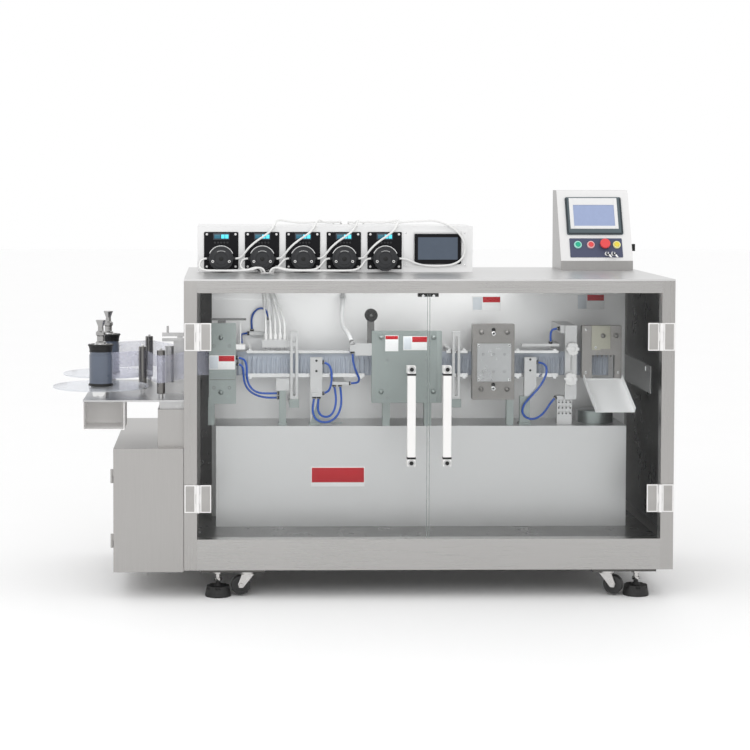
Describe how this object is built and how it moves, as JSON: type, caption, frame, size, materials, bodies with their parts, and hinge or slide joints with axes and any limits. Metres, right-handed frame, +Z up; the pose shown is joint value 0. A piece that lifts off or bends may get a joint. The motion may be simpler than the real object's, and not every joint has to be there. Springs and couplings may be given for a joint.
{
  "type": "ampoule forming, filling and sealing machine",
  "caption": "Glass-fronted stainless cabinet line that forms film into plastic ampoules, fills them from peristaltic pumps, seals and cuts them, with film reels at its left.",
  "frame": {"origin": "middle of the whole machine's footprint, on the floor", "axes": "+X along the line from the film reels to the exit chute, +Y from the doors to the rear, +Z up"},
  "size_m": [2.2499, 0.914, 1.467],
  "materials": {
    "cabinet_frame": "brushed stainless steel",
    "top_plate": "brushed stainless steel with a plastic grommet",
    "cabinet_panels": "brushed stainless steel sheet",
    "mounting_plate": "satin aluminium",
    "base_cover": "brushed stainless steel sheet",
    "levelling_feet": "black pads with zinc stems",
    "door_hardware": "cast hinge leaves and black catches",
    "pump_case": "pale painted sheet with black displays",
    "pump_drives": "black face plates with cyan displays",
    "pump_heads": "dark heads with arc levers",
    "pump_touch_panel": "glossy touch screen",
    "console_case": "brushed stainless steel sheet",
    "console_screen": "grey bezel round a pale screen",
    "button_plate": "slate blue plate with key switches",
    "main_switch": "black rotary switch",
    "side_cabinet": "brushed stainless steel sheet",
    "side_cabinet_door": "brushed stainless steel sheet",
    "unwinder_table": "steel table, tray and spindles",
    "front_reel": "clear disc, dark core, wound film and chrome knob",
    "rear_reel": "clear disc, dark core, wound film and chrome knob",
    "ampoule_strip": "clear plastic film and ampoules",
    "strip_rails": "ground steel bars",
    "station_plates": "grey tool plates with domed nuts",
    "station_supports": "steel pillars, brackets, valves and fittings",
    "filling_nozzles": "nozzle block with white sockets",
    "strip_grippers": "steel jaws",
    "tension_roller": "black roller",
    "exit_chute": "bright steel sheet",
    "drive_motor": "gear motor and bearing stands",
    "cam_shaft": "ground shaft with eccentric cams",
    "air_tubes": "blue air tubes and one white hose",
    "pump_tubes": "translucent white tube",
    "left_door_glass": "clear pane",
    "left_door_fittings": "white handle and cast hinge leaves",
    "right_door_glass": "clear pane",
    "right_door_fittings": "white handle and cast hinge leaves",
    "caster_fork_1": "zinc plated fork",
    "caster_wheel_1": "black tread",
    "caster_fork_2": "zinc plated fork",
    "caster_wheel_2": "black tread",
    "caster_fork_3": "zinc plated fork",
    "caster_wheel_3": "black tread",
    "caster_fork_4": "zinc plated fork",
    "caster_wheel_4": "black tread",
    "start_button": "green push button",
    "halt_button": "red push button",
    "reset_button": "yellow push button",
    "stop_button": "red mushroom button",
    "forming_mould": "machined mould on two rods",
    "sealing_mould": "machined mould on rods",
    "stamping_mould": "machined die on two rods",
    "cutting_punch": "hardened punch",
    "pump_rotor_1": "machined rotor",
    "pump_rotor_2": "machined rotor",
    "pump_rotor_3": "machined rotor",
    "pump_rotor_4": "machined rotor",
    "pump_rotor_5": "machined rotor",
    "guide_roller_1": "polished roller",
    "guide_roller_2": "polished roller",
    "guide_roller_3": "polished roller"
  },
  "bodies": {
    "machine": {"cabinet_frame": "cabinet_frame", "top_plate": "top_plate", "cabinet_panels": "cabinet_panels", "mounting_plate": "mounting_plate", "base_cover": "base_cover", "levelling_feet": "levelling_feet", "door_hardware": "door_hardware", "pump_case": "pump_case", "pump_drives": "pump_drives", "pump_heads": "pump_heads", "pump_touch_panel": "pump_touch_panel", "console_case": "console_case", "console_screen": "console_screen", "button_plate": "button_plate", "side_cabinet": "side_cabinet", "unwinder_table": "unwinder_table", "ampoule_strip": "ampoule_strip", "strip_rails": "strip_rails", "station_plates": "station_plates", "station_supports": "station_supports", "exit_chute": "exit_chute", "air_tubes": "air_tubes", "pump_tubes": "pump_tubes", "drive_motor": "drive_motor"},
    "left_door": {"left_door_glass": "left_door_glass", "left_door_fittings": "left_door_fittings"},
    "right_door": {"right_door_glass": "right_door_glass", "right_door_fittings": "right_door_fittings"},
    "side_door": {"side_cabinet_door": "side_cabinet_door"},
    "caster_fork_1": {"caster_fork_1": "caster_fork_1"},
    "caster_wheel_1": {"caster_wheel_1": "caster_wheel_1"},
    "caster_fork_2": {"caster_fork_2": "caster_fork_2"},
    "caster_wheel_2": {"caster_wheel_2": "caster_wheel_2"},
    "caster_fork_3": {"caster_fork_3": "caster_fork_3"},
    "caster_wheel_3": {"caster_wheel_3": "caster_wheel_3"},
    "caster_fork_4": {"caster_fork_4": "caster_fork_4"},
    "caster_wheel_4": {"caster_wheel_4": "caster_wheel_4"},
    "pump_rotor_1": {"pump_rotor_1": "pump_rotor_1"},
    "pump_rotor_2": {"pump_rotor_2": "pump_rotor_2"},
    "pump_rotor_3": {"pump_rotor_3": "pump_rotor_3"},
    "pump_rotor_4": {"pump_rotor_4": "pump_rotor_4"},
    "pump_rotor_5": {"pump_rotor_5": "pump_rotor_5"},
    "front_reel": {"front_reel": "front_reel"},
    "rear_reel": {"rear_reel": "rear_reel"},
    "guide_roller_1": {"guide_roller_1": "guide_roller_1"},
    "guide_roller_2": {"guide_roller_2": "guide_roller_2"},
    "guide_roller_3": {"guide_roller_3": "guide_roller_3"},
    "tension_roller": {"tension_roller": "tension_roller"},
    "start_button": {"start_button": "start_button"},
    "halt_button": {"halt_button": "halt_button"},
    "reset_button": {"reset_button": "reset_button"},
    "stop_button": {"stop_button": "stop_button"},
    "main_switch": {"main_switch": "main_switch"},
    "forming_mould": {"forming_mould": "forming_mould"},
    "sealing_mould": {"sealing_mould": "sealing_mould"},
    "stamping_mould": {"stamping_mould": "stamping_mould"},
    "cutting_punch": {"cutting_punch": "cutting_punch"},
    "filling_nozzles": {"filling_nozzles": "filling_nozzles"},
    "strip_grippers": {"strip_grippers": "strip_grippers"},
    "cam_shaft": {"cam_shaft": "cam_shaft"}
  },
  "joints": [
    {"name": "left_door_hinge", "type": "hinge", "parent": "machine", "child": "left_door", "pos_m": [-0.596, -0.4005, 0.6], "axis": [0, 0, -1], "range_deg": [0, 110]},
    {"name": "right_door_hinge", "type": "hinge", "parent": "machine", "child": "right_door", "pos_m": [1.072, -0.4005, 0.6], "axis": [0, 0, 1], "range_deg": [0, 110]},
    {"name": "side_door_hinge", "type": "hinge", "parent": "machine", "child": "side_door", "pos_m": [-0.9055, -0.388, 0.3], "axis": [0, 0, -1], "range_deg": [0, 110]},
    {"name": "caster_swivel_1", "type": "hinge", "parent": "machine", "child": "caster_fork_1", "pos_m": [-0.417, -0.335, 0.08], "axis": [0, 0, 1], "continuous": true},
    {"name": "caster_spin_1", "type": "hinge", "parent": "caster_fork_1", "child": "caster_wheel_1", "pos_m": [-0.4419, -0.33718, 0.041], "axis": [0.0872, -0.9962, 0], "continuous": true},
    {"name": "caster_swivel_2", "type": "hinge", "parent": "machine", "child": "caster_fork_2", "pos_m": [0.893, -0.335, 0.08], "axis": [0, 0, 1], "continuous": true},
    {"name": "caster_spin_2", "type": "hinge", "parent": "caster_fork_2", "child": "caster_wheel_2", "pos_m": [0.91566, -0.34557, 0.041], "axis": [0.4226, 0.9063, 0], "continuous": true},
    {"name": "caster_swivel_3", "type": "hinge", "parent": "machine", "child": "caster_fork_3", "pos_m": [-0.417, 0.399, 0.08], "axis": [0, 0, 1], "continuous": true},
    {"name": "caster_spin_3", "type": "hinge", "parent": "caster_fork_3", "child": "caster_wheel_3", "pos_m": [-0.43865, 0.4115, 0.041], "axis": [-0.5, -0.866, 0], "continuous": true},
    {"name": "caster_swivel_4", "type": "hinge", "parent": "machine", "child": "caster_fork_4", "pos_m": [0.893, 0.399, 0.08], "axis": [0, 0, 1], "continuous": true},
    {"name": "caster_spin_4", "type": "hinge", "parent": "caster_fork_4", "child": "caster_wheel_4", "pos_m": [0.91215, 0.41507, 0.041], "axis": [-0.6428, 0.766, 0], "continuous": true},
    {"name": "pump_spin_1", "type": "hinge", "parent": "machine", "child": "pump_rotor_1", "pos_m": [-0.514, 0.071, 1.208], "axis": [0, 1, 0], "continuous": true},
    {"name": "pump_spin_2", "type": "hinge", "parent": "machine", "child": "pump_rotor_2", "pos_m": [-0.357, 0.071, 1.208], "axis": [0, 1, 0], "continuous": true},
    {"name": "pump_spin_3", "type": "hinge", "parent": "machine", "child": "pump_rotor_3", "pos_m": [-0.2, 0.071, 1.208], "axis": [0, 1, 0], "continuous": true},
    {"name": "pump_spin_4", "type": "hinge", "parent": "machine", "child": "pump_rotor_4", "pos_m": [-0.043, 0.071, 1.208], "axis": [0, 1, 0], "continuous": true},
    {"name": "pump_spin_5", "type": "hinge", "parent": "machine", "child": "pump_rotor_5", "pos_m": [0.114, 0.071, 1.208], "axis": [0, 1, 0], "continuous": true},
    {"name": "front_reel_spin", "type": "hinge", "parent": "machine", "child": "front_reel", "pos_m": [-0.951, -0.283, 0.83], "axis": [0, 0, 1], "continuous": true},
    {"name": "rear_reel_spin", "type": "hinge", "parent": "machine", "child": "rear_reel", "pos_m": [-0.951, 0.157, 0.83], "axis": [0, 0, 1], "continuous": true},
    {"name": "guide_roller_spin_1", "type": "hinge", "parent": "machine", "child": "guide_roller_1", "pos_m": [-0.804, -0.159, 0.8], "axis": [0, 0, 1], "continuous": true},
    {"name": "guide_roller_spin_2", "type": "hinge", "parent": "machine", "child": "guide_roller_2", "pos_m": [-0.731, -0.313, 0.8], "axis": [0, 0, 1], "continuous": true},
    {"name": "guide_roller_spin_3", "type": "hinge", "parent": "machine", "child": "guide_roller_3", "pos_m": [-0.798, 0.275, 0.8], "axis": [0, 0, 1], "continuous": true},
    {"name": "tension_roller_spin", "type": "hinge", "parent": "machine", "child": "tension_roller", "pos_m": [0.044, -0.153, 1.008], "axis": [0, 1, 0], "continuous": true},
    {"name": "start_button_press", "type": "slide", "parent": "machine", "child": "start_button", "axis": [0, 0.9165, -0.3999], "range_m": [0, 0.004], "stiffness_N_per_m": 400, "springref_m": -0.001},
    {"name": "halt_button_press", "type": "slide", "parent": "machine", "child": "halt_button", "axis": [0, 0.9165, -0.3999], "range_m": [0, 0.004], "stiffness_N_per_m": 400, "springref_m": -0.001},
    {"name": "reset_button_press", "type": "slide", "parent": "machine", "child": "reset_button", "axis": [0, 0.9165, -0.3999], "range_m": [0, 0.004], "stiffness_N_per_m": 400, "springref_m": -0.001},
    {"name": "stop_button_press", "type": "slide", "parent": "machine", "child": "stop_button", "axis": [0, 0.9165, -0.3999], "range_m": [0, 0.005], "stiffness_N_per_m": 500, "springref_m": -0.001},
    {"name": "main_switch_turn", "type": "hinge", "parent": "machine", "child": "main_switch", "pos_m": [1.101, 0.307, 1.241], "axis": [1, 0, 0], "range_deg": [0, 90]},
    {"name": "forming_mould_slide", "type": "slide", "parent": "machine", "child": "forming_mould", "axis": [0, -1, 0], "range_m": [0, 0.015]},
    {"name": "sealing_mould_slide", "type": "slide", "parent": "machine", "child": "sealing_mould", "axis": [0, -1, 0], "range_m": [0, 0.015]},
    {"name": "stamping_mould_slide", "type": "slide", "parent": "machine", "child": "stamping_mould", "axis": [0, -1, 0], "range_m": [0, 0.015]},
    {"name": "cutting_punch_slide", "type": "slide", "parent": "machine", "child": "cutting_punch", "axis": [0, -1, 0], "range_m": [0, 0.01]},
    {"name": "nozzle_lift", "type": "slide", "parent": "machine", "child": "filling_nozzles", "axis": [0, 0, 1], "range_m": [0, 0.012]},
    {"name": "gripper_slide", "type": "slide", "parent": "machine", "child": "strip_grippers", "axis": [0, -1, 0], "range_m": [0, 0.004]},
    {"name": "cam_shaft_spin", "type": "hinge", "parent": "machine", "child": "cam_shaft", "pos_m": [0.254, -0.033, 0.42], "axis": [1, 0, 0], "continuous": true}
  ]
}
